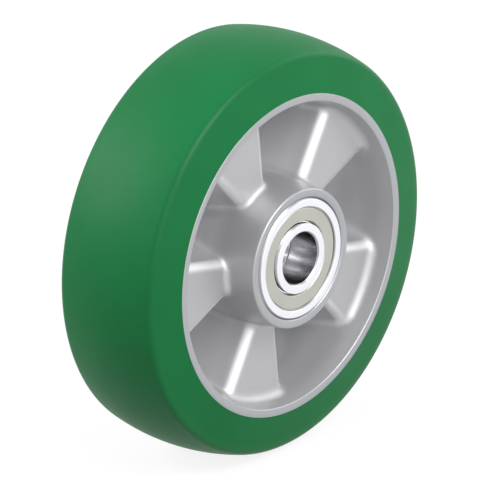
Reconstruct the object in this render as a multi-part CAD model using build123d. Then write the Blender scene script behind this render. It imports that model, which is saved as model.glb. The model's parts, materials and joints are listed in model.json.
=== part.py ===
from build123d import *
import math
import os

# Heavy-duty wheel for trucks and castors, in millimetres.
# The origin is the centre of the wheel, which stands upright and turns about +Y.
# The front is the face towards -Y. Angles round the wheel are counted from +X towards +Z.

# Tread, a cast elastomer tyre bonded to the rim
wheel_diameter = 160.0
tread_thickness = 18.0
crown_radius = 80.0
side_inset = 3.35
shoulder_round = 3.1

# Rim of the cast wheel centre
rim_width = 50.0
lip_wall = 2.9
rim_wall = 6.5
lip_round = 0.5

# Hub of the cast wheel centre
hub_length = 60.0
hub_setback = 0.15
hub_face_wall = 3.25
hub_bow = 1.65
hub_edge_round = 0.6
seat_chamfer = 0.4
seat_shoulder = 3.0

# Folded web: pads on one face stand behind the pockets of the other
fold_count = 5
first_pad_angle = 42.2
web_width = 35.0
web_wall = 5.8
pad_wall = 7.5
web_root = 0.3
flank_draft = 16.0
pad_edge_round = 4.5
pocket_floor_round = 2.5
rim_junction_round = 3.2
hub_junction_round = 2.6

# Deep-groove ball bearing, one at each end of the hub
bearing_bore = 20.0
bearing_diameter = 47.0
bearing_width = 14.0
ball_count = 8
ball_diameter = 7.938
ball_clearance = 0.03
groove_excess = 0.121
inner_land_drop = 2.35
outer_land_rise = 2.65
ring_chamfer = 0.8
bore_chamfer = 0.6
face_edge_break = 0.2

# Pressed shields on both faces of each bearing
shield_sheet = 0.4
shield_seat_depth = 1.5
shield_seat_width = 0.6
shield_seat_undercut = 0.5
shield_mouth_step = 0.7
shield_rim_clearance = 0.1
shield_flange = 1.0
shield_rise = 0.5
shield_bend = 0.4
shield_gap = 0.5
shield_lip_depth = 0.8
notch_step = 0.9
notch_depth = 2.2

# Riveted cage of two pressed halves
cage_sheet = 0.6
cage_band = 2.7
pocket_play = 0.12
rivet_diameter = 1.0
rivet_head_overhang = 0.45
rivet_head_height = 0.4
rivet_head_round = 0.25

# Spacer tube between the inner rings
spacer_wall = 3.0

# How near an edge lies to a plane to count as in it
place_tolerance = 0.001

# Places that follow from the sizes above
wheel_radius = wheel_diameter / 2
rim_radius = wheel_radius - tread_thickness
bore_radius = bearing_bore / 2
seat_radius = bearing_diameter / 2
pitch_radius = (bore_radius + seat_radius) / 2
ball_radius = ball_diameter / 2
groove_radius = ball_radius + groove_excess
inner_land_radius = pitch_radius - inner_land_drop
outer_land_radius = pitch_radius + outer_land_rise
notch_radius = inner_land_radius - notch_step
mouth_radius = outer_land_radius + shield_mouth_step
cage_inner_radius = pitch_radius - cage_band / 2
cage_outer_radius = pitch_radius + cage_band / 2
bearing_offset = (hub_length - bearing_width) / 2
spacer_length = hub_length - 2 * bearing_width
hub_metal_length = hub_length - 2 * hub_setback
hub_face_radius = seat_radius + hub_face_wall
hub_waist_radius = hub_face_radius + hub_bow
shoulder_bore_radius = seat_radius - seat_shoulder
fold_pitch = 360 / fold_count
ball_pitch = 360 / ball_count


def corners_at(face, *places):
    # Corners of a drawn face that lie at the given places.
    return [face.vertices().sort_by_distance((x, y, 0))[0] for x, y in places]


def mirrored_about_middle(shape):
    return mirror(shape, about=Plane.XZ)


def bowed_radius(end_radius, middle_radius, half_length, place):
    # Radius, at a place along the axis, of a wall whose outline is one arc through both ends.
    bow = middle_radius - end_radius
    arc_radius = (half_length**2 + bow**2) / (2 * bow)
    return middle_radius - arc_radius + math.sqrt(arc_radius**2 - place**2)


def make_tread():
    # Crowned running face, rounded shoulders and sides that slope out to the rim's lips.
    crown_centre = wheel_radius - crown_radius
    half_rim = rim_width / 2
    half_face = half_rim - side_inset
    shoulder_radius = crown_centre + math.sqrt(crown_radius**2 - half_face**2)
    outline = [
        ThreePointArc((shoulder_radius, -half_face), (wheel_radius, 0), (shoulder_radius, half_face)),
        Line((shoulder_radius, half_face), (rim_radius, half_rim)),
        Line((rim_radius, half_rim), (rim_radius, -half_rim)),
        Line((rim_radius, -half_rim), (shoulder_radius, -half_face)),
    ]
    section = make_face(outline)
    shoulders = corners_at(section, (shoulder_radius, -half_face), (shoulder_radius, half_face))
    return revolve(fillet(shoulders, shoulder_round), Axis.Y, 360)


def make_rim():
    # Rim ring whose inner wall bows in from the thin lips to a thicker middle.
    half_rim = rim_width / 2
    lip_radius = rim_radius - lip_wall
    outline = [
        Line((rim_radius, half_rim), (rim_radius, -half_rim)),
        Line((rim_radius, -half_rim), (lip_radius, -half_rim)),
        ThreePointArc((lip_radius, -half_rim), (rim_radius - rim_wall, 0), (lip_radius, half_rim)),
        Line((lip_radius, half_rim), (rim_radius, half_rim)),
    ]
    section = make_face(outline)
    lip_edges = corners_at(section, (lip_radius, -half_rim), (lip_radius, half_rim))
    return revolve(fillet(lip_edges, lip_round), Axis.Y, 360)


def make_hub():
    # Hub barrel with a bearing seat at each end and a shoulder between them.
    half_metal = hub_metal_length / 2
    seat_floor = spacer_length / 2
    front_corner = (hub_face_radius, -half_metal)
    rear_corner = (hub_face_radius, half_metal)
    outline = [
        ThreePointArc(front_corner, (hub_waist_radius, 0), rear_corner),
        Polyline(
            rear_corner,
            (seat_radius, half_metal),
            (seat_radius, seat_floor),
            (shoulder_bore_radius, seat_floor),
            (shoulder_bore_radius, -seat_floor),
            (seat_radius, -seat_floor),
            (seat_radius, -half_metal),
            front_corner,
        ),
    ]
    section = make_face(outline)
    outer_edges = corners_at(section, front_corner, rear_corner)
    section = fillet(outer_edges, hub_edge_round)
    seat_edges = corners_at(section, (seat_radius, -half_metal), (seat_radius, half_metal))
    return revolve(chamfer(seat_edges, seat_chamfer), Axis.Y, 360)


def make_pocket():
    # Front pocket centred on +X. Each flank is a plane that leans in towards the pocket's floor,
    # and the folded wall between a front pocket and a rear one keeps its thickness.
    lean = math.tan(math.radians(flank_draft))
    flank_angle = math.radians(fold_pitch / 4)
    mouth = -web_width
    floor = web_width / 2 - pad_wall
    section = make_face(
        Polyline(
            (web_wall / 2 + mouth * lean, mouth),
            (rim_radius, mouth),
            (rim_radius, floor),
            (web_wall / 2 + floor * lean, floor),
            close=True,
        )
    )
    floor_corner = corners_at(section, (web_wall / 2 + floor * lean, floor))
    section = fillet(floor_corner, pocket_floor_round)
    flank_plane = Plane(
        origin=(0, 0, 0),
        x_dir=(math.sin(flank_angle), 0, -math.cos(flank_angle)),
        z_dir=(math.cos(flank_angle), 0, math.sin(flank_angle)),
    )
    one_side = extrude(flank_plane * section, wheel_radius)
    return one_side & mirror(one_side, about=Plane.XY)


def make_web():
    # Ring folded into pads and pockets, which alternate between the two faces.
    barrel_radius = bowed_radius(hub_face_radius, hub_waist_radius, hub_metal_length / 2, web_width / 2)
    inner_radius = barrel_radius - web_root
    outer_radius = rim_radius - lip_wall / 2
    ring = Cylinder(outer_radius, web_width) - Cylinder(inner_radius, web_width)
    web = Rot(90, 0, 0) * ring
    pocket = make_pocket()
    for fold in range(fold_count):
        pad_angle = first_pad_angle + fold * fold_pitch
        web -= Rot(0, -(pad_angle + fold_pitch / 2), 0) * pocket
        web -= Rot(0, -pad_angle, 0) * mirrored_about_middle(pocket)
    straight = web.edges().filter_by(GeomType.LINE)
    faces_at = web_width / 2
    pad_edges = straight.filter_by(lambda edge: abs(abs(edge.center().Y) - faces_at) < place_tolerance)
    return fillet(pad_edges, pad_edge_round)


def make_wheel_centre():
    # One casting: the web is joined to the rim and to the hub with rounded junctions.
    web = make_web()
    rim = make_rim()
    outer_part = rim + web
    outer_part = fillet(new_edges(rim, web, combined=outer_part), rim_junction_round)
    hub = make_hub()
    solid_hub = hub + Rot(90, 0, 0) * Cylinder(shoulder_bore_radius, web_width)
    casting = outer_part + solid_hub
    casting = fillet(new_edges(outer_part, solid_hub, combined=casting), hub_junction_round)
    return casting - Rot(90, 0, 0) * Cylinder(shoulder_bore_radius, hub_length)


def make_inner_ring():
    # Raceway groove between two lands, with a notch at each face for the shield's lip.
    half_width = bearing_width / 2
    half_land = half_width - notch_depth
    section = make_face(
        Polyline(
            (bore_radius, -half_width),
            (notch_radius, -half_width),
            (notch_radius, -half_land),
            (inner_land_radius, -half_land),
            (inner_land_radius, half_land),
            (notch_radius, half_land),
            (notch_radius, half_width),
            (bore_radius, half_width),
            close=True,
        )
    )
    bore_corners = corners_at(section, (bore_radius, -half_width), (bore_radius, half_width))
    section = chamfer(bore_corners, bore_chamfer)
    face_corners = corners_at(section, (notch_radius, -half_width), (notch_radius, half_width))
    section = chamfer(face_corners, face_edge_break)
    groove_place = pitch_radius - ball_radius - ball_clearance + groove_radius
    return revolve(section - Pos(groove_place, 0) * Circle(groove_radius), Axis.Y, 360)


def make_outer_ring():
    # Raceway groove between two lands, with an undercut seat at each face for the shield's rim.
    half_width = bearing_width / 2
    undercut_radius = mouth_radius + shield_seat_undercut
    seat = half_width - shield_seat_depth
    lip = seat + shield_seat_width
    section = make_face(
        Polyline(
            (seat_radius, -half_width),
            (seat_radius, half_width),
            (mouth_radius, half_width),
            (mouth_radius, lip),
            (undercut_radius, lip),
            (undercut_radius, seat),
            (outer_land_radius, seat),
            (outer_land_radius, -seat),
            (undercut_radius, -seat),
            (undercut_radius, -lip),
            (mouth_radius, -lip),
            (mouth_radius, -half_width),
            close=True,
        )
    )
    outer_corners = corners_at(section, (seat_radius, -half_width), (seat_radius, half_width))
    section = chamfer(outer_corners, ring_chamfer)
    groove_place = pitch_radius + ball_radius + ball_clearance - groove_radius
    return revolve(section - Pos(groove_place, 0) * Circle(groove_radius), Axis.Y, 360)


def make_shield():
    # Outboard shield: a flange on the outer ring's seat, a raised disc and a lip beside the inner ring.
    seat = -(bearing_width / 2 - shield_seat_depth)
    rim = mouth_radius + shield_seat_undercut - shield_rim_clearance
    bend = rim - shield_flange
    disc = seat - shield_rise
    lip = notch_radius + shield_gap + shield_sheet
    inboard_side = Polyline(
        (rim, seat),
        (bend, seat),
        (bend - shield_bend, disc),
        (lip + shield_bend, disc),
        (lip, disc + shield_lip_depth),
    )
    sheet = offset(inboard_side, shield_sheet, side=Side.LEFT)
    return revolve(make_face(sheet), Axis.Y, 360)


def ball_places(turn=0.0):
    # Places of the balls, or with half a step of turn the places between them.
    return [Rot(0, -(turn + ball * ball_pitch), 0) * Pos(pitch_radius, 0, 0) for ball in range(ball_count)]


def make_cage_half():
    # Outboard half: a flat ribbon with a round pocket over each ball.
    pocket_radius = ball_radius + pocket_play
    bulge_radius = pocket_radius + cage_sheet
    band = Cylinder(cage_outer_radius, bulge_radius) - Cylinder(cage_inner_radius, bulge_radius)
    band = Pos(0, -bulge_radius / 2, 0) * Rot(90, 0, 0) * band
    ribbon = Cylinder(cage_outer_radius, cage_sheet) - Cylinder(cage_inner_radius, cage_sheet)
    ribbon = Pos(0, -cage_sheet / 2, 0) * Rot(90, 0, 0) * ribbon
    bulge = Rot(90, 0, 0) * Sphere(bulge_radius)
    pocket = Rot(90, 0, 0) * Sphere(pocket_radius)
    bulges = Part() + [place * bulge for place in ball_places()]
    pockets = [place * pocket for place in ball_places()]
    rivet_hole = Rot(90, 0, 0) * Cylinder(rivet_diameter / 2, 4 * cage_sheet)
    rivet_holes = [place * rivet_hole for place in ball_places(ball_pitch / 2)]
    return ribbon + (band & bulges) - pockets - rivet_holes


def make_rivets():
    # Rivets between the balls, each with a rounded head on both halves of the cage.
    head = Cylinder(rivet_diameter / 2 + rivet_head_overhang, rivet_head_height)
    head = fillet(head.edges().sort_by(Axis.Z)[-1], rivet_head_round)
    head = Pos(0, 0, cage_sheet + rivet_head_height / 2) * head
    rivet = Cylinder(rivet_diameter / 2, 2 * cage_sheet) + head + mirror(head, about=Plane.XY)
    rivet = Rot(90, 0, 0) * rivet
    return Compound([place * rivet for place in ball_places(ball_pitch / 2)])


def make_spacer_tube():
    # Tube that holds the two inner rings apart when the axle is tightened.
    tube = Cylinder(bore_radius + spacer_wall, spacer_length) - Cylinder(bore_radius, spacer_length)
    return Rot(90, 0, 0) * tube


def make_bearing():
    # Pieces of one bearing about its own middle, with the outboard face towards -Y.
    shield = make_shield()
    cage_half = make_cage_half()
    pieces = {
        "bearing_inner_ring": make_inner_ring(),
        "bearing_outer_ring": make_outer_ring(),
        "bearing_outboard_shield": shield,
        "bearing_inboard_shield": mirrored_about_middle(shield),
        "cage_outboard_half": cage_half,
        "cage_inboard_half": mirrored_about_middle(cage_half),
        "cage_rivets": make_rivets(),
    }
    for number, place in enumerate(ball_places(), start=1):
        pieces[f"ball_{number}"] = place * Sphere(ball_radius)
    return pieces


pieces = {
    "tread": make_tread(),
    "wheel_centre": make_wheel_centre(),
    "spacer_tube": make_spacer_tube(),
}
for piece_name, piece in make_bearing().items():
    front_piece = Pos(0, -bearing_offset, 0) * piece
    pieces[f"front_{piece_name}"] = front_piece
    pieces[f"rear_{piece_name}"] = mirrored_about_middle(front_piece)

os.makedirs("parts", exist_ok=True)
for name, shape in pieces.items():
    shape.label = name
    export_step(shape, f"parts/{name}.step")
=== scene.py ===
import bpy
import json
import math
import numpy as np
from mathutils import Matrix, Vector


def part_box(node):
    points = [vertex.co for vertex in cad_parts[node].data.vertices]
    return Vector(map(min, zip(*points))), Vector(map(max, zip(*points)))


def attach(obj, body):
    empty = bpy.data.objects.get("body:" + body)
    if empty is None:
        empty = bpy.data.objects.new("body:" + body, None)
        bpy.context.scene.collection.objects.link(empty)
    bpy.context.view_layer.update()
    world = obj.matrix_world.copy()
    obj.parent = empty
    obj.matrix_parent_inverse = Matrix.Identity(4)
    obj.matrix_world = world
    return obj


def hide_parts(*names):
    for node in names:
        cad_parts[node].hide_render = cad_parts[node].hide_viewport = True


# Looks of a heavy-duty wheel: a green elastomer tread on a cast aluminium centre with two ball bearings.
# The axle runs along Y, and the face that the camera sees is the one towards -Y.
# Lengths in the settings are millimetres, and scales of noise are features for each metre.

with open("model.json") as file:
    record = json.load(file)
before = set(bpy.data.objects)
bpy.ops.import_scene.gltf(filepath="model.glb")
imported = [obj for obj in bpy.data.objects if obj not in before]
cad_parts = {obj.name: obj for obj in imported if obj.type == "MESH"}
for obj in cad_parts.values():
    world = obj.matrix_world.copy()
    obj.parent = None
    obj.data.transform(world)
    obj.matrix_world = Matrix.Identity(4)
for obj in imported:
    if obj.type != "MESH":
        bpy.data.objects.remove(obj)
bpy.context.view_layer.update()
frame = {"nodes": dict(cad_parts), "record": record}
mm = 0.001
tau = 2 * math.pi
white = (1, 1, 1, 1)


# Camera

photoView = dict(
    azimuth=-49.508,        # degrees round the wheel from straight in front
    elevation=21.607,       # degrees above the floor
    across=178.04,          # what the frame's width covers at the wheel
    centrePixel=(239.394, 239.408),
    framePixels=480,
    distance=1500.0,
    nearest=50.0,           # the camera shows what lies between these two distances
    farthest=20000.0,
)


def setCamera():
    # With azimuth a and elevation e, the camera stands at distance (sin a cos e, -cos a cos e, sin e) and
    # looks at the origin, with no perspective. Its shift puts the origin on its pixel of the photograph.
    cameraData = bpy.data.cameras.new("camera")
    camera = bpy.data.objects.new("camera", cameraData)
    bpy.context.scene.collection.objects.link(camera)
    azimuth = math.radians(photoView["azimuth"])
    elevation = math.radians(photoView["elevation"])
    reach = photoView["distance"] * mm
    camera.location = (
        reach * math.sin(azimuth) * math.cos(elevation),
        -reach * math.cos(azimuth) * math.cos(elevation),
        reach * math.sin(elevation),
    )
    camera.rotation_euler = (math.pi / 2 - elevation, 0, azimuth)
    cameraData.type = "ORTHO"
    cameraData.ortho_scale = photoView["across"] * mm
    cameraData.clip_start = photoView["nearest"] * mm
    cameraData.clip_end = photoView["farthest"] * mm
    middle = photoView["framePixels"] / 2
    cameraData.shift_x = (middle - photoView["centrePixel"][0]) / photoView["framePixels"]
    cameraData.shift_y = (photoView["centrePixel"][1] - middle) / photoView["framePixels"]
    bpy.context.scene.camera = camera


setCamera()
print("camera set")


# Mesh makers

def pieceFromMesh(name, mesh, body, slot, *nodes):
    # A finished mesh becomes a piece that stands for its CAD nodes and moves with their body.
    piece = bpy.data.objects.new(name, mesh)
    bpy.context.scene.collection.objects.link(piece)
    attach(piece, body)
    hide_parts(*nodes)
    return piece


def wrappedGrid(name, points, creaseDegrees):
    # A grid of points that closes on itself both ways. Each quad joins a point to its next along the
    # outline and its next round the wheel.
    rows, columns, _ = points.shape
    here = np.arange(rows * columns).reshape(rows, columns)
    nextAlong = np.roll(here, -1, axis=0)
    nextRound = np.roll(here, -1, axis=1)
    nextBoth = np.roll(nextAlong, -1, axis=1)
    quads = np.stack([here, nextAlong, nextBoth, nextRound], axis=-1).reshape(-1, 4)
    mesh = bpy.data.meshes.new(name)
    mesh.from_pydata((points.reshape(-1, 3) * mm).tolist(), [], quads.tolist())
    mesh.shade_smooth()
    mesh.set_sharp_from_angle(angle=math.radians(creaseDegrees))
    mesh.update()
    return mesh


def turnedPoints(outline, steps):
    # Each outline point (r, y) goes round the axle: x = r cos t, y = y, z = r sin t.
    turn = np.arange(steps) * tau / steps
    radius = outline[:, 0][:, None]
    place = outline[:, 1][:, None] + 0 * turn
    return np.stack([radius * np.cos(turn), place, radius * np.sin(turn)], axis=-1)


def roundedOutline(corners, rounds, steps):
    # Each corner P between A and B becomes an arc of radius R. With the unit vectors u to A and w to B and
    # half their angle b, it starts at P + u R / tan b and turns about P + (u + w) R / (|u + w| sin b).
    corners = np.array(corners, float)
    rounds = np.array(rounds, float)[:, None]
    toA = np.roll(corners, 1, axis=0) - corners
    toB = np.roll(corners, -1, axis=0) - corners
    u = toA / np.linalg.norm(toA, axis=1, keepdims=True)
    w = toB / np.linalg.norm(toB, axis=1, keepdims=True)
    half = np.arccos(np.clip((u * w).sum(1, keepdims=True), -1, 1)) / 2
    middle = (u + w) / np.linalg.norm(u + w, axis=1, keepdims=True)
    centre = corners + middle * rounds / np.sin(half)
    start = corners + u * rounds / np.tan(half) - centre
    end = corners + w * rounds / np.tan(half) - centre
    sweep = (math.pi - 2 * half)[:, :, None]
    share = np.linspace(0, 1, steps)[None, :, None]
    arc = start[:, None] * np.sin((1 - share) * sweep) + end[:, None] * np.sin(share * sweep)
    return (centre[:, None] + arc / np.sin(sweep)).reshape(-1, 2)


# Tread

tread = dict(
    faceHalfWidth=21.65,    # where the running face would meet the side
    shoulderRound=3.1,
    innerRadius=62.0,
    rimHalfWidth=25.0,
    crownSteps=40,
    shoulderSteps=12,
    sideSteps=14,
    stepsRound=360,
    creaseDegrees=40,
)


def directions(angles):
    # The unit vector (cos a, sin a) of each angle.
    return np.stack([np.cos(angles), np.sin(angles)], axis=1)


def makeTread():
    # The running face is an arc of the tread's own radius about the wheel's centre. The side is a straight
    # line to the rim's edge. The shoulder's arc touches both: its centre lies at R - s from the wheel's
    # centre and at s from the side's line. Both arcs are worked out from the direction of their normal.
    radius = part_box("tread")[1].x / mm
    shoulder = tread["shoulderRound"]
    foot = np.array([tread["innerRadius"], tread["rimHalfWidth"]])
    top = np.array([math.sqrt(radius**2 - tread["faceHalfWidth"]**2), tread["faceHalfWidth"]])
    side = (top - foot) / np.linalg.norm(top - foot)
    outward = np.array([-side[1], side[0]])
    start = foot - shoulder * outward
    along = -start @ side + math.sqrt((start @ side)**2 - start @ start + (radius - shoulder)**2)
    centre = start + along * side
    crownEnd = math.atan2(centre[1], centre[0])
    sideNormal = math.atan2(outward[1], outward[0])
    crownLine = radius * directions(np.linspace(-crownEnd, crownEnd, tread["crownSteps"]))
    bend = np.linspace(crownEnd, sideNormal, tread["shoulderSteps"])[1:]
    rearBend = centre + shoulder * directions(bend)
    share = np.linspace(0, 1, tread["sideSteps"])[1:, None]
    rearSide = rearBend[-1] + share * (foot - rearBend[-1])
    rear = np.concatenate([rearBend, rearSide])
    front = (rear * [1, -1])[::-1]
    outline = np.concatenate([front, crownLine, rear])
    mesh = wrappedGrid("treadTyre", turnedPoints(outline, tread["stepsRound"]), tread["creaseDegrees"])
    return pieceFromMesh("treadTyre", mesh, "wheel", "tread_elastomer", "tread")


# Wheel centre

casting = dict(
    rimRadius=62.0,
    rimHalfWidth=25.0,
    rimBreak=0.05,          # the sharp edge between the rim's face and its outside is broken by this much
    lipWall=2.9,
    rimWall=6.5,
    lipRound=0.5,
    hubHalfLength=29.85,
    hubFaceRadius=26.75,
    hubWaistRadius=28.4,
    hubEdgeRound=0.6,
    seatRadius=23.5,
    seatChamfer=0.4,
    seatFloor=16.0,
    shoulderBore=20.5,
    folds=5,
    firstPadAngle=42.2,     # degrees
    webHalfWidth=17.5,
    webWall=5.8,
    padWall=7.5,
    flankDraft=16.0,        # degrees
    padEdgeRound=4.5,
    pocketFloorRound=2.5,
    rimJunctionRound=3.2,
    hubJunctionRound=2.6,
    eyeRadius=43.0,         # the ring of points that the cavity's surface is seen from
    eyeHeight=34.0,
    halvings=40,
    wallSteps=15,
    wallSpread=0.9,         # below 1 it leaves a wider first step at the wall's edge
    webSteps=28,
    webCrowding=0.8,        # 0 spreads the rays over the web evenly, and 1 crowds them at its ends
    edgeSteps=5,
    stepsPerFold=120,
    creaseDegrees=50,
)


def bowedWall(endRadius, middleRadius, halfLength, height):
    # Radius of a wall whose outline is one arc through both ends: middle - R + sqrt(R^2 - h^2),
    # where the arc's radius R follows from its bow and is negative where the wall bows inwards.
    bow = middleRadius - endRadius
    arc = (halfLength**2 + bow**2) / (2 * bow)
    return middleRadius - arc + math.copysign(1, arc) * np.sqrt(arc**2 - height**2)


def hubWall(height):
    # Radius of the hub's outside: an arc from face to face, widest halfway along.
    return bowedWall(casting["hubFaceRadius"], casting["hubWaistRadius"], casting["hubHalfLength"], height)


def rimWall(height):
    # Radius of the rim's inside: an arc from lip to lip, narrowest halfway along.
    lip = casting["rimRadius"] - casting["lipWall"]
    middle = casting["rimRadius"] - casting["rimWall"]
    return bowedWall(lip, middle, casting["rimHalfWidth"], height)


def roundedOutside(a, b, size):
    # Distance to what lies inside both a and b, with the edge between them rounded: within the round,
    # the length of (a + s, b + s) less s.
    both = np.hypot(np.maximum(size + a, 0), np.maximum(size + b, 0))
    return np.minimum(-size, np.maximum(a, b)) + both


def roundedInside(a, b, size):
    # Distance to what lies inside a or b, with the corner between them filled by a round: within the
    # round, s less the length of (s - a, s - b).
    both = np.hypot(np.maximum(size - a, 0), np.maximum(size - b, 0))
    return np.maximum(size, np.minimum(a, b)) - both


def flankOffset(radius, fold):
    # Distance from the radial line through the middle of a flank, towards the middle of the pocket:
    # r sin (a quarter of the fold's angle - the point's angle).
    quarter = math.radians(360 / casting["folds"] / 4)
    return radius * np.sin(quarter - fold)


def castingDistance(radius, height, fold):
    # How far a point in the hollow of one face is from the metal, negative inside it. Fold is its angle
    # from the middle of the nearest pocket. A pad is what lies below the pad's face and beyond the leaning
    # flank. The web is the pad or the pocket's floor, and hub and rim join it with rounds. Flank and face
    # don't meet at a right angle, and 1 - sin (lean) makes their round as long as a true arc's.
    lean = math.radians(casting["flankDraft"])
    slant = 1 - math.sin(lean)
    padFace = height - casting["webHalfWidth"]
    flankFoot = casting["webWall"] / 2 - height * math.tan(lean)
    flank = (flankOffset(radius, fold) - flankFoot) * math.cos(lean)
    pad = roundedOutside(padFace, flank, casting["padEdgeRound"] * slant)
    floor = height + casting["webHalfWidth"] - casting["padWall"]
    web = roundedInside(pad, floor, casting["pocketFloorRound"] * slant)
    outer = roundedInside(web, rimWall(height) - radius, casting["rimJunctionRound"])
    return roundedInside(outer, radius - hubWall(height), casting["hubJunctionRound"])


def sharpWebHeight(radius, fold):
    # Height of the web with no rounds, used to spread the rays: the flank's height, kept between the
    # pocket's floor and the pad's face.
    lean = math.tan(math.radians(casting["flankDraft"]))
    floor = casting["padWall"] - casting["webHalfWidth"]
    height = (casting["webWall"] / 2 - flankOffset(radius, fold)) / lean
    return np.clip(height, floor, casting["webHalfWidth"])


def cavitySurface(fold):
    # From a ring of eyes in front of the hollow, each ray runs out in its half plane through the axle until
    # it meets the metal, which halving its length finds. The rays sweep from the hub's edge over the web to
    # the rim's lip, and crowd together at the two junctions.
    eyeR, eyeH = casting["eyeRadius"], casting["eyeHeight"]
    hubTop = casting["hubHalfLength"] - casting["hubEdgeRound"]
    lipTop = casting["rimHalfWidth"] - casting["lipRound"]
    hubWeb = sharpWebHeight(casting["hubWaistRadius"], fold)
    rimWeb = sharpWebHeight(rimWall(0.0), fold)

    def rayAngle(radius, height):
        # Angle at the eye between straight down and the point: tan = (r - eye's r) / (eye's h - h).
        return np.arctan2(radius - eyeR, eyeH - height)

    first = rayAngle(hubWall(hubTop), hubTop) + 0 * fold
    hubCorner = rayAngle(hubWall(hubWeb), hubWeb)
    rimCorner = rayAngle(rimWall(rimWeb), rimWeb)
    last = rayAngle(rimWall(lipTop), lipTop) + 0 * fold
    wall = np.linspace(0, 1, casting["wallSteps"])[:, None]
    middle = np.linspace(0, 1, casting["webSteps"])[1:-1, None]
    crowded = middle - casting["webCrowding"] * np.sin(tau * middle) / tau
    towardsCorner = np.sin(wall * math.pi / 2)**casting["wallSpread"]
    angle = np.concatenate([
        first + (hubCorner - first) * towardsCorner,
        hubCorner + (rimCorner - hubCorner) * crowded,
        (last + (rimCorner - last) * towardsCorner)[::-1],
    ])
    near = np.zeros_like(angle)
    far = np.full_like(angle, 2 * casting["rimRadius"])
    for _ in range(casting["halvings"]):
        reach = (near + far) / 2
        clear = castingDistance(eyeR + reach * np.sin(angle), eyeH - reach * np.cos(angle), fold) > 0
        near = np.where(clear, reach, near)
        far = np.where(clear, far, reach)
    return eyeR + near * np.sin(angle), eyeH - near * np.cos(angle)


def foldAngle(turn, middleOfPocket):
    # Angle from the middle of the nearest pocket, never negative: the turn from the pocket's middle, less
    # whole folds.
    pitch = tau / casting["folds"]
    return np.abs((turn - middleOfPocket + pitch / 2) % pitch - pitch / 2)


def edgeArc(radius, face, size, direction):
    # A quarter of a circle from a wall to a face. The radius leaves the wall's by s (1 - cos t), outwards
    # or inwards, and the place is the face's less s (1 - sin t).
    turn = np.linspace(0, math.pi / 2, casting["edgeSteps"])[1:]
    radii = radius + direction * size * (1 - np.cos(turn))
    return np.stack([radii, face - size + size * np.sin(turn)], axis=1)


def rimEdge():
    # Outline of the rim's rear edge: the lip's round, the flat face and the broken edge outside.
    face, rim, cut = casting["rimHalfWidth"], casting["rimRadius"], casting["rimBreak"]
    lip = rimWall(face - casting["lipRound"])
    flat = [[(lip + rim) / 2, face], [rim - cut, face], [rim, face - cut]]
    return np.concatenate([edgeArc(lip, face, casting["lipRound"], 1), flat])


def hubEnd():
    # Outline of the hub's rear end: the edge's round, the flat face, the seat and the shoulder behind it.
    face, seat, chamfer = casting["hubHalfLength"], casting["seatRadius"], casting["seatChamfer"]
    wall = hubWall(face - casting["hubEdgeRound"])
    return np.concatenate([edgeArc(wall, face, casting["hubEdgeRound"], -1), [
        [seat + chamfer, face],
        [seat, face - chamfer],
        [seat, casting["seatFloor"]],
        [casting["shoulderBore"], casting["seatFloor"]],
    ]])


def makeWheelCentre():
    # Each section through the axle is one closed loop: the front hollow from hub to lip, the rim's outside,
    # the rear hollow back to the hub, and the bearing seats with the shoulder between them. The front's
    # first pad has a rear pocket behind it.
    stepsRound = casting["folds"] * casting["stepsPerFold"]
    turn = np.arange(stepsRound) * tau / stepsRound
    rearPocket = math.radians(casting["firstPadAngle"])
    frontPocket = rearPocket + math.pi / casting["folds"]
    frontR, frontH = cavitySurface(foldAngle(turn, frontPocket))
    rearR, rearH = cavitySurface(foldAngle(turn, rearPocket))

    def turned(outline):
        # An outline that is the same all round.
        return turnedPoints(outline, stepsRound)

    def swept(radius, place):
        # An outline that changes round the wheel: x = r cos t, y = place, z = r sin t.
        return np.stack([radius * np.cos(turn), place, radius * np.sin(turn)], axis=-1)

    mirrored = [1, -1]
    points = np.concatenate([
        swept(frontR, -frontH),
        turned(rimEdge() * mirrored),
        turned(rimEdge()[::-1]),
        swept(rearR, rearH)[::-1],
        turned(hubEnd()),
        turned((hubEnd() * mirrored)[::-1]),
    ])
    mesh = wrappedGrid("wheelCentreCasting", points, casting["creaseDegrees"])
    return pieceFromMesh("wheelCentreCasting", mesh, "wheel", "cast_aluminium", "wheel_centre")


# Bearing rings

rings = dict(
    middle=23.0,            # how far each bearing's middle lies from the wheel's
    halfWidth=7.0,
    boreRadius=10.0,
    outerRadius=23.5,
    notchRadius=13.5,
    halfLand=4.8,
    innerLand=14.4,
    outerLand=19.4,
    mouthRadius=20.1,
    undercutRadius=20.6,
    seatFrom=5.5,
    seatTo=6.1,
    boreChamfer=0.6,
    outerChamfer=0.8,
    grooveRadius=4.09,
    innerGrooveCentre=16.841,
    outerGrooveCentre=16.659,
    grooveSteps=12,
    softEdge=0.16,          # worn round of the edges that show
    keenEdge=0.04,
    arcSteps=4,
    stepsRound=240,
    creaseDegrees=40,
)


def groovePoints(centre, land, side):
    # Points (c + s G cos a, G sin a) of the groove's arc between its two lands, with equal steps of a. The
    # side s is 1 for the outer ring's groove and -1 for the inner ring's.
    groove = rings["grooveRadius"]
    reach = math.acos((land - centre) * side / groove)
    angle = np.linspace(-reach, reach, rings["grooveSteps"])
    return [(centre + side * groove * math.cos(a), groove * math.sin(a)) for a in angle]


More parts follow.
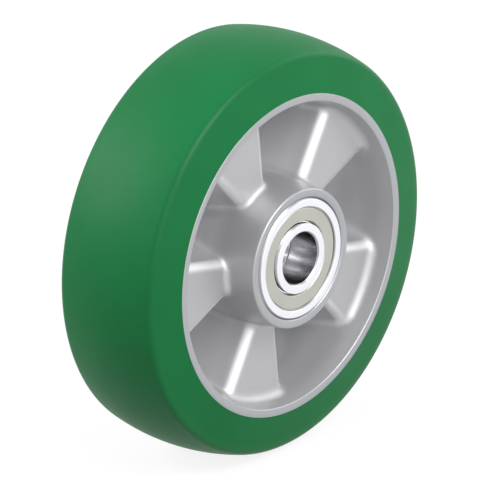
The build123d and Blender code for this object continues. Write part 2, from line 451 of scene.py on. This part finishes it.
def innerRingOutline():
    # Outer side first, from the front face to the rear one, then the bore. The front's corners are the
    # rear's, mirrored and in reverse.
    half, land, notch = rings["halfWidth"], rings["halfLand"], rings["notchRadius"]
    bore, cut = rings["boreRadius"], rings["boreChamfer"]
    groove = groovePoints(rings["innerGrooveCentre"], rings["innerLand"], -1)
    rear = [
        (rings["innerLand"], land), (notch, land), (notch, half),
        (bore + cut, half), (bore, half - cut),
    ]
    front = [(r, -y) for r, y in rear[::-1]]
    corners = front[2:] + groove + rear + front[:2]
    keen, soft = rings["keenEdge"], rings["softEdge"]
    rounds = [soft, keen, keen] + [keen] * len(groove) + [keen, keen, soft, soft, soft] + [soft, soft]
    return roundedOutline(corners, rounds, rings["arcSteps"])


def outerRingOutline():
    # Outer side first, from the front face to the rear one, then the seats, the lands and the groove.
    half, outer, mouth = rings["halfWidth"], rings["outerRadius"], rings["mouthRadius"]
    under, cut = rings["undercutRadius"], rings["outerChamfer"]
    groove = groovePoints(rings["outerGrooveCentre"], rings["outerLand"], 1)[::-1]
    rear = [
        (outer, half - cut), (outer - cut, half), (mouth, half), (mouth, rings["seatTo"]),
        (under, rings["seatTo"]), (under, rings["seatFrom"]), (rings["outerLand"], rings["seatFrom"]),
    ]
    front = [(r, -y) for r, y in rear[::-1]]
    corners = front[-1:] + rear + groove + front[:-1]
    keen, soft = rings["keenEdge"], rings["softEdge"]
    edges = [soft, soft, soft, keen, keen, keen, keen]
    rounds = edges[:1] + edges + [keen] * len(groove) + edges[:0:-1]
    return roundedOutline(corners, rounds, rings["arcSteps"])


def makeRing(kind, end, side, body):
    # The same outline serves both ends. It is the same from front to rear, so it is only moved.
    outline = innerRingOutline() if kind == "inner" else outerRingOutline()
    outline[:, 1] += side * rings["middle"]
    name = end + kind.capitalize() + "Ring"
    mesh = wrappedGrid(name, turnedPoints(outline, rings["stepsRound"]), rings["creaseDegrees"])
    return pieceFromMesh(name, mesh, body, "bearing_steel", end + "_bearing_" + kind + "_ring")


treadTyre = makeTread()
wheelCasting = makeWheelCentre()
turnedRings = []
for end, side in (("front", -1), ("rear", 1)):
    turnedRings.append(makeRing("inner", end, side, "fixed_rings"))
    turnedRings.append(makeRing("outer", end, side, "wheel"))
print("tread and casting made:", len(wheelCasting.data.polygons), "faces in the casting")


# Material makers

def newMaterial(name):
    # A material with nothing but a shader that feeds its surface.
    material = bpy.data.materials.new(name)
    material.use_nodes = True
    tree = material.node_tree
    tree.nodes.clear()
    output = tree.nodes.new("ShaderNodeOutputMaterial")
    shader = tree.nodes.new("ShaderNodeBsdfPrincipled")
    tree.links.new(shader.outputs["BSDF"], output.inputs["Surface"])
    return material, tree, shader


def addNode(tree, kind, inputs, **settings):
    # Each input is a number, a colour or the socket that feeds it.
    node = tree.nodes.new(kind)
    for key, value in settings.items():
        setattr(node, key, value)
    for key, value in inputs.items():
        if isinstance(value, bpy.types.NodeSocket):
            tree.links.new(value, node.inputs[key])
        else:
            node.inputs[key].default_value = value
    return node


def calculate(tree, operation, first, second=0.0):
    # One operation on two numbers, such as first times second, or on the first alone.
    return addNode(tree, "ShaderNodeMath", {0: first, 1: second}, operation=operation).outputs[0]


def remap(tree, value, fromLow, fromHigh, toLow, toHigh):
    # A straight line from one range to the other, held at its ends:
    # toLow + (value - fromLow) (toHigh - toLow) / (fromHigh - fromLow).
    return addNode(tree, "ShaderNodeMapRange", {
        "Value": value, "From Min": fromLow, "From Max": fromHigh, "To Min": toLow, "To Max": toHigh,
    }).outputs["Result"]


def band(tree, value, places):
    # Rises from 0 to 1 between the first two places and falls again between the last two, in millimetres.
    rise = remap(tree, value, places[0] * mm, places[1] * mm, 0.0, 1.0)
    return calculate(tree, "MULTIPLY", rise, remap(tree, value, places[2] * mm, places[3] * mm, 1.0, 0.0))


def mixNumbers(tree, factor, first, second):
    # first (1 - factor) + second factor.
    return addNode(tree, "ShaderNodeMix", {"Factor": factor, "A": first, "B": second}).outputs["Result"]


def mixColours(tree, factor, first, second):
    # The same for colours, whose sockets come after those for numbers and for vectors.
    return addNode(tree, "ShaderNodeMix", {0: factor, 6: first, 7: second}, data_type="RGBA").outputs[2]


def objectPlace(tree):
    # Place on the object, which turns with it.
    return tree.nodes.new("ShaderNodeTexCoord").outputs["Object"]


def noiseAt(tree, place, scale, detail, roughness=0.5):
    # Noise of place times scale, 0.5 on average.
    return addNode(tree, "ShaderNodeTexNoise", {
        "Vector": place, "Scale": scale, "Detail": detail, "Roughness": roughness,
    }).outputs["Fac"]


def bumpNormal(tree, height, depth, strength):
    # The normal of a surface that stands out by height times depth, in millimetres.
    return addNode(tree, "ShaderNodeBump", {
        "Height": height, "Distance": depth * mm, "Strength": strength,
    }).outputs["Normal"]


def newGroup(name, givenLabels, resultLabels):
    # A shared group of nodes whose inputs and outputs are all numbers.
    group = bpy.data.node_groups.new(name, "ShaderNodeTree")
    for label in givenLabels:
        group.interface.new_socket(label, in_out="INPUT", socket_type="NodeSocketFloat")
    for label in resultLabels:
        group.interface.new_socket(label, in_out="OUTPUT", socket_type="NodeSocketFloat")
    return group, group.nodes.new("NodeGroupInput"), group.nodes.new("NodeGroupOutput")


def useGroup(tree, group, **inputs):
    # A shared group in a material, by its outputs.
    return addNode(tree, "ShaderNodeGroup", inputs, node_tree=group).outputs


# Shared effects

noise = dict(
    cloudRange=(0.3, 0.7),      # nearly all values of soft noise lie between these
    streakRange=(0.38, 0.62),
    wanderScale=260.0,
    wanderDetail=3.0,
    cloudDetail=4.0,
    grainDetail=2.0,
    grainRoughness=0.6,
    streakDetail=2.0,
    streakStretch=(1.0, 0.01, 1.0),
)


def makeTurnedMarks():
    # Rings left by a cutting tool or a grinding wheel round the axle: sin ((radius + place along the axle +
    # noise x pitch x unevenness) / pitch). The radius and the place along the axle come out too.
    group, given, result = newGroup(
        "turnedMarks", ["Pitch", "Unevenness"], ["Height", "Radius", "FromMiddle"])
    split = addNode(group, "ShaderNodeSeparateXYZ", {"Vector": objectPlace(group)})
    across = addNode(group, "ShaderNodeCombineXYZ", {"X": split.outputs["X"], "Y": split.outputs["Z"]})
    length = addNode(group, "ShaderNodeVectorMath", {0: across.outputs[0]}, operation="LENGTH")
    radius = length.outputs["Value"]
    fromMiddle = calculate(group, "ABSOLUTE", split.outputs["Y"])
    wander = noiseAt(group, objectPlace(group), noise["wanderScale"], noise["wanderDetail"])
    shift = calculate(group, "MULTIPLY", given.outputs["Pitch"], given.outputs["Unevenness"])
    shifted = addNode(group, "ShaderNodeMath", {
        0: wander, 1: shift, 2: calculate(group, "ADD", radius, fromMiddle),
    }, operation="MULTIPLY_ADD").outputs[0]
    wave = calculate(group, "SINE", calculate(group, "DIVIDE", shifted, given.outputs["Pitch"]))
    for label, value in (("Height", wave), ("Radius", radius), ("FromMiddle", fromMiddle)):
        group.links.new(value, result.inputs[label])
    return group


def makeMottle():
    # Soft clouds, and a fine grain that is mixed with them by its share. Both are 0.5 on average.
    group, given, result = newGroup(
        "mottle", ["CloudScale", "GrainScale", "GrainShare"], ["Cloud", "Grain"])
    place = objectPlace(group)
    cloud = noiseAt(group, place, given.outputs["CloudScale"], noise["cloudDetail"])
    fine = noiseAt(
        group, place, given.outputs["GrainScale"], noise["grainDetail"], noise["grainRoughness"])
    group.links.new(cloud, result.inputs["Cloud"])
    group.links.new(mixNumbers(group, given.outputs["GrainShare"], cloud, fine), result.inputs["Grain"])
    return group


def makePaintedReflectionStreaks():
    # Streaks along the axle that are painted reflections: noise that hardly changes along Y, 0.5 on
    # average.
    group, given, result = newGroup("paintedReflectionStreaks", ["Scale"], ["Streak"])
    drawn = addNode(group, "ShaderNodeVectorMath", {0: objectPlace(group), 1: noise["streakStretch"]},
                    operation="MULTIPLY").outputs["Vector"]
    streak = noiseAt(group, drawn, given.outputs["Scale"], noise["streakDetail"])
    group.links.new(streak, result.inputs["Streak"])
    return group


turnedMarks = makeTurnedMarks()
mottle = makeMottle()
paintedReflectionStreaks = makePaintedReflectionStreaks()


def useMottle(tree, look):
    # Clouds and grain at the scales that a material's settings give.
    return useGroup(tree, mottle, CloudScale=look["cloudScale"], GrainScale=look["grainScale"],
                    GrainShare=look["grainShare"])


def useMarks(tree, look):
    # Turned rings with the pitch that a material's settings give.
    return useGroup(tree, turnedMarks, Pitch=look["ringPitch"] * mm, Unevenness=look["ringUnevenness"])


def spread(tree, value, toLow, toHigh):
    # Soft noise, whose usual values are spread over a range.
    return remap(tree, value, *noise["cloudRange"], toLow, toHigh)


# Tread's elastomer

elastomer = dict(
    colour=(0.007, 0.170, 0.047, 1),
    deepColour=(0.006, 0.152, 0.041, 1),
    smoothRoughness=0.47,
    dullRoughness=0.52,
    shoulderRoughness=0.34,
    shoulderPlace=(19.2, 20.6, 22.2, 22.9),     # from the wheel's middle
    shoulderReach=(72.0, 74.5, 79.0, 80.0),     # from the axle
    sheen=0.165,            # strength of the mirror reflection, 0.5 being that of glass
    cloudScale=38.0,
    grainScale=900.0,
    grainShare=0.7,
    skinDepth=0.2,
    skinStrength=0.12,
)


def makeElastomer():
    # Cast elastomer: an even green with faint clouds, half matte, with a very fine skin. The shoulders came
    # out of the mould a little smoother.
    material, tree, shader = newMaterial("greenElastomer")
    marks = useGroup(tree, turnedMarks)
    skin = useMottle(tree, elastomer)
    cloud = spread(tree, skin["Cloud"], 0.0, 1.0)
    colour = mixColours(tree, cloud, elastomer["deepColour"], elastomer["colour"])
    along = band(tree, marks["FromMiddle"], elastomer["shoulderPlace"])
    shoulder = calculate(tree, "MULTIPLY", along, band(tree, marks["Radius"], elastomer["shoulderReach"]))
    plainRoughness = spread(tree, skin["Cloud"], elastomer["dullRoughness"], elastomer["smoothRoughness"])
    roughness = mixNumbers(tree, shoulder, plainRoughness, elastomer["shoulderRoughness"])
    normal = bumpNormal(tree, skin["Grain"], elastomer["skinDepth"], elastomer["skinStrength"])
    tree.links.new(colour, shader.inputs["Base Color"])
    tree.links.new(roughness, shader.inputs["Roughness"])
    tree.links.new(normal, shader.inputs["Normal"])
    shader.inputs["Specular IOR Level"].default_value = elastomer["sheen"]
    return material


# Casting's aluminium

aluminium = dict(
    padColour=(0.49, 0.49, 0.50, 1),
    # lighter than the pads: painted light that lifts the shade deep in the pockets
    deepColour=(0.62, 0.62, 0.63, 1),
    padPlace=17.4,          # the colour goes from the pad's to the deep one between these two places
    deepPlace=9.0,
    barrelReach=(30.5, 28.5),               # the hub's outside is painted part way to the deep colour, painted light on its shaded side
    barrelLightShare=0.32,
    cloudDepth=0.06,
    # a painted highlight on the rounded edges of the pads
    edgeHighlightColour=(0.76, 0.76, 0.77, 1),
    edgeHighlightPlace=(14.2, 15.2, 16.9, 17.46),    # where the painted highlight on the pads' edges starts, is full, thins out and ends
    edgeHighlightReach=(29.5, 31.5, 54.0, 56.0),
    machinedColour=(0.43, 0.44, 0.46, 1),
    lipFrom=24.8,           # beyond these places from the middle, rim and hub are turned
    hubFaceFrom=29.6,
    betweenThem=42.0,       # radius that parts rim from hub
    seatReach=25.2,         # and within this radius all is turned
    castMetal=0.65,
    castRoughness=0.43,
    castRoughest=0.48,
    machinedRoughness=0.30,
    cloudScale=55.0,
    grainScale=1700.0,
    grainShare=0.75,
    ringPitch=0.07,
    ringUnevenness=2.0,
    ringHeight=0.02,        # of the turned rings, against the grain of the casting
    skinDepth=0.12,
    skinStrength=0.25,
)


def machinedPlaces(tree, marks):
    # 1 on the rim's lips, the hub's faces and the bearing seats, which are turned on a lathe.
    onRim = calculate(tree, "GREATER_THAN", marks["Radius"], aluminium["betweenThem"] * mm)
    faceFrom = remap(tree, onRim, 0.0, 1.0, aluminium["hubFaceFrom"] * mm, aluminium["lipFrom"] * mm)
    onFace = calculate(tree, "GREATER_THAN", marks["FromMiddle"], faceFrom)
    inSeat = calculate(tree, "LESS_THAN", marks["Radius"], aluminium["seatReach"] * mm)
    return calculate(tree, "MAXIMUM", onFace, inSeat)


def castColour(tree, marks, cloud):
    # The colour is painted lighter from the pads down into the pockets and on the hub's outside, painted
    # light that lifts the shade there, with faint clouds. It is light on the rounded edges of the pads, a
    # painted highlight.
    padPlace, deepPlace = aluminium["padPlace"] * mm, aluminium["deepPlace"] * mm
    # Painted light: lighter deep in the pockets and on the hub's shaded outside.
    pocketLightening = remap(tree, marks["FromMiddle"], padPlace, deepPlace, 0.0, 1.0)
    barrelFrom, barrelTo = (place * mm for place in aluminium["barrelReach"])
    barrelLightening = remap(tree, marks["Radius"], barrelFrom, barrelTo, 0.0, aluminium["barrelLightShare"])
    depth = calculate(tree, "MAXIMUM", pocketLightening, barrelLightening)
    clouds = calculate(tree, "MULTIPLY", spread(tree, cloud, -1.0, 1.0), aluminium["cloudDepth"])
    clouded = calculate(tree, "ADD", depth, clouds)
    plainColour = mixColours(tree, clouded, aluminium["padColour"], aluminium["deepColour"])
    # Painted highlight along the rounded edges of the pads.
    along = band(tree, marks["FromMiddle"], aluminium["edgeHighlightPlace"])
    edge = calculate(tree, "MULTIPLY", along, band(tree, marks["Radius"], aluminium["edgeHighlightReach"]))
    return mixColours(tree, edge, plainColour, aluminium["edgeHighlightColour"])


def makeAluminium():
    # A satin casting with a fine grain. Where it is turned on a lathe it is greyer and smoother, and shows
    # rings.
    material, tree, shader = newMaterial("castAluminium")
    marks = useMarks(tree, aluminium)
    skin = useMottle(tree, aluminium)
    machined = machinedPlaces(tree, marks)
    asCast = castColour(tree, marks, skin["Cloud"])
    colour = mixColours(tree, machined, asCast, aluminium["machinedColour"])
    castRoughness = spread(tree, skin["Cloud"], aluminium["castRoughest"], aluminium["castRoughness"])
    roughness = mixNumbers(tree, machined, castRoughness, aluminium["machinedRoughness"])
    turnedHeight = calculate(tree, "MULTIPLY", marks["Height"], aluminium["ringHeight"])
    height = mixNumbers(tree, machined, skin["Grain"], turnedHeight)
    normal = bumpNormal(tree, height, aluminium["skinDepth"], aluminium["skinStrength"])
    tree.links.new(colour, shader.inputs["Base Color"])
    tree.links.new(roughness, shader.inputs["Roughness"])
    tree.links.new(normal, shader.inputs["Normal"])
    shader.inputs["Metallic"].default_value = aluminium["castMetal"]
    return material


# Bearing steels

def steelLook(colour, darkColour, roughness, roughest, ringPitch, ringDepth):
    # Settings of one steel. Clouds, grain and the rings' unevenness are the same for all.
    return dict(
        colour=(*colour, 1), darkColour=(*darkColour, 1), roughness=roughness, roughest=roughest,
        ringPitch=ringPitch, ringDepth=ringDepth, ringUnevenness=3.0, ringStrength=0.2,
        cloudScale=90.0, grainScale=1500.0, grainShare=0.5,
    )


shieldSteel = steelLook(
    colour=(0.53, 0.53, 0.48), darkColour=(0.49, 0.49, 0.445), roughness=0.30, roughest=0.38,
    ringPitch=0.20, ringDepth=0.002)
cageSteel = steelLook(
    colour=(0.60, 0.60, 0.58), darkColour=(0.52, 0.52, 0.50), roughness=0.28, roughest=0.36,
    ringPitch=0.20, ringDepth=0.002)
ballSteel = steelLook(
    colour=(0.80, 0.80, 0.82), darkColour=(0.76, 0.76, 0.78), roughness=0.05, roughest=0.08,
    ringPitch=0.50, ringDepth=0.0005)
spacerSteel = steelLook(
    colour=(0.82, 0.82, 0.83), darkColour=(0.74, 0.74, 0.75), roughness=0.14, roughest=0.20,
    ringPitch=0.15, ringDepth=0.003)


def makeSteel(name, look):
    # Turned, ground or drawn steel: rings round the axle, faint clouds in its colour and a grain in its
    # gloss.
    material, tree, shader = newMaterial(name)
    marks = useMarks(tree, look)
    skin = useMottle(tree, look)
    cloud = spread(tree, skin["Cloud"], 0.0, 1.0)
    colour = mixColours(tree, cloud, look["darkColour"], look["colour"])
    roughness = spread(tree, skin["Grain"], look["roughest"], look["roughness"])
    normal = bumpNormal(tree, marks["Height"], look["ringDepth"], look["ringStrength"])
    tree.links.new(colour, shader.inputs["Base Color"])
    tree.links.new(roughness, shader.inputs["Roughness"])
    tree.links.new(normal, shader.inputs["Normal"])
    shader.inputs["Metallic"].default_value = 1.0
    return material


ringSteel = dict(
    faceColour=(0.88, 0.88, 0.93, 1),
    # turned chamfers, painted dark as a painted dark reflection and the shade in the groove between hub and
    # ring
    turnedAndShadedColour=(0.34, 0.34, 0.36, 1),
    # the bore's two colours make lengthwise streaks, painted reflections
    boreColour=(0.74, 0.74, 0.75, 1),
    boreDark=(0.42, 0.42, 0.44, 1),
    faceRoughness=0.14,
    turnedRoughness=0.30,
    boreRoughness=0.20,
    faceFrom=29.93,         # the ground faces lie further than this from the wheel's middle
    boreTo=10.05,
    middleRadius=16.65,     # the chamfers lie further than chamferFrom from this radius
    chamferFrom=5.95,
    streakScale=210.0,
    ringPitch=0.06,
    ringUnevenness=3.0,
    ringDepth=0.002,
    ringStrength=0.2,
)


def makeRingSteel():
    # Hardened rings: the faces and the bore are ground bright, the bore with painted reflections as streaks
    # along it. The chamfers are only turned and are painted dark grey, a painted dark reflection and the
    # shade in the groove between hub and ring.
    material, tree, shader = newMaterial("ringSteel")
    marks = useMarks(tree, ringSteel)
    onFace = calculate(tree, "GREATER_THAN", marks["FromMiddle"], ringSteel["faceFrom"] * mm)
    inBore = calculate(tree, "LESS_THAN", marks["Radius"], ringSteel["boreTo"] * mm)
    fromMiddleRadius = calculate(tree, "SUBTRACT", marks["Radius"], ringSteel["middleRadius"] * mm)
    aside = calculate(tree, "ABSOLUTE", fromMiddleRadius)
    within = calculate(tree, "LESS_THAN", aside, ringSteel["chamferFrom"] * mm)
    # The chamfers get the dark colour, a painted dark reflection and shade. The faces and the walls between
    # them stay bright.
    bright = calculate(tree, "MAXIMUM", onFace, within)
    outside = mixColours(tree, bright, ringSteel["turnedAndShadedColour"], ringSteel["faceColour"])
    # Painted reflections: lengthwise streaks in the bore's colour.
    grain = useGroup(tree, paintedReflectionStreaks, Scale=ringSteel["streakScale"])["Streak"]
    streak = remap(tree, grain, *noise["streakRange"], 0.0, 1.0)
    boreColour = mixColours(tree, streak, ringSteel["boreDark"], ringSteel["boreColour"])
    colour = mixColours(tree, inBore, outside, boreColour)
    outsideRoughness = mixNumbers(tree, bright, ringSteel["turnedRoughness"], ringSteel["faceRoughness"])
    roughness = mixNumbers(tree, inBore, outsideRoughness, ringSteel["boreRoughness"])
    normal = bumpNormal(tree, marks["Height"], ringSteel["ringDepth"], ringSteel["ringStrength"])
    tree.links.new(colour, shader.inputs["Base Color"])
    tree.links.new(roughness, shader.inputs["Roughness"])
    tree.links.new(normal, shader.inputs["Normal"])
    shader.inputs["Metallic"].default_value = 1.0
    return material


finishes = dict(
    tread_elastomer=makeElastomer(),
    cast_aluminium=makeAluminium(),
    bearing_steel=makeRingSteel(),
    shield_steel=makeSteel("shieldSheet", shieldSteel),
    cage_steel=makeSteel("cageSheet", cageSteel),
    ball_steel=makeSteel("ballSteel", ballSteel),
    spacer_steel=makeSteel("spacerSteel", spacerSteel),
)

slotOfNode = {part["node"]: part["material_slot"] for part in frame["record"]["subparts"]}
for node, piece in frame["nodes"].items():
    piece.data.materials.clear()
    piece.data.materials.append(finishes[slotOfNode[node]])
for ring in turnedRings:
    ring.data.materials.append(finishes["bearing_steel"])
treadTyre.data.materials.append(finishes["tread_elastomer"])
wheelCasting.data.materials.append(finishes["cast_aluminium"])
print("materials made:", len(finishes))


# Floor, background and lights

studio = dict(
    floorSize=6000.0,
    floorTone=(0.18, 0.18, 0.18, 1),
    floorRoughness=0.9,
    floorGlow=0.86,         # share of white that the floor shows by itself to the camera and to shiny metal
    ambientTone=(0.95, 0.97, 1.0, 1),
    ambientLevel=0.42,
    distance=1000.0,        # of each lamp from the wheel's centre
)
softBoxes = [               # towards is the direction from the wheel, and power is in watts
    dict(name="keyBox", towards=(-0.06, -0.74, 0.67), wide=700.0, high=500.0, power=6.2),
    dict(name="frontBox", towards=(-0.18, -0.96, 0.20), wide=1050.0, high=600.0, power=2.4),
    dict(name="rightBox", towards=(0.86, -0.30, 0.41), wide=700.0, high=600.0, power=1.8),
    dict(name="rearLeftBox", towards=(-0.56, 0.62, 0.50), wide=650.0, high=450.0, power=7.0),
]


def seenDirectly(tree):
    # 1 for what the camera, a glossy ray or a ray through glass sees: the largest of the three.
    path = tree.nodes.new("ShaderNodeLightPath")
    shiny = calculate(tree, "MAXIMUM", path.outputs["Is Glossy Ray"], path.outputs["Is Transmission Ray"])
    return calculate(tree, "MAXIMUM", path.outputs["Is Camera Ray"], shiny)


def makeFloor():
    # A square as low as the tread's lowest point. It takes shadows, and its own glow makes it pale.
    half = studio["floorSize"] * mm / 2
    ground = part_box("tread")[0].z
    corners = [(-half, -half, ground), (half, -half, ground), (half, half, ground), (-half, half, ground)]
    mesh = bpy.data.meshes.new("floor")
    mesh.from_pydata(corners, [], [(0, 1, 2, 3)])
    floor = bpy.data.objects.new("floor", mesh)
    bpy.context.scene.collection.objects.link(floor)
    material, tree, shader = newMaterial("paleFloor")
    shader.inputs["Base Color"].default_value = studio["floorTone"]
    shader.inputs["Roughness"].default_value = studio["floorRoughness"]
    shader.inputs["Specular IOR Level"].default_value = 0.0
    shader.inputs["Emission Color"].default_value = white
    glow = calculate(tree, "MULTIPLY", seenDirectly(tree), studio["floorGlow"])
    tree.links.new(glow, shader.inputs["Emission Strength"])
    floor.data.materials.append(material)


def setWorld():
    # White to the camera and to shiny metal, and a soft even light to everything else.
    world = bpy.data.worlds.new("studioWorld")
    bpy.context.scene.world = world
    world.use_nodes = True
    tree = world.node_tree
    tree.nodes.clear()
    soft = addNode(tree, "ShaderNodeBackground", {
        "Color": studio["ambientTone"], "Strength": studio["ambientLevel"],
    })
    plain = addNode(tree, "ShaderNodeBackground", {"Color": white, "Strength": 1.0})
    either = addNode(tree, "ShaderNodeMixShader", {
        0: seenDirectly(tree), 1: soft.outputs[0], 2: plain.outputs[0],
    })
    addNode(tree, "ShaderNodeOutputWorld", {"Surface": either.outputs[0]})


def addSoftBox(box):
    # A panel at the studio's distance that faces the wheel.
    data = bpy.data.lights.new(box["name"], "AREA")
    data.shape = "RECTANGLE"
    data.size = box["wide"] * mm
    data.size_y = box["high"] * mm
    data.energy = box["power"]
    light = bpy.data.objects.new(box["name"], data)
    bpy.context.scene.collection.objects.link(light)
    towards = Vector(box["towards"]).normalized()
    light.location = towards * (studio["distance"] * mm)
    light.rotation_euler = towards.to_track_quat("Z", "Y").to_euler()
    light.visible_camera = False


makeFloor()
setWorld()
for box in softBoxes:
    addSoftBox(box)
bpy.context.scene.view_settings.view_transform = "Standard"
print("floor, background and lights set")
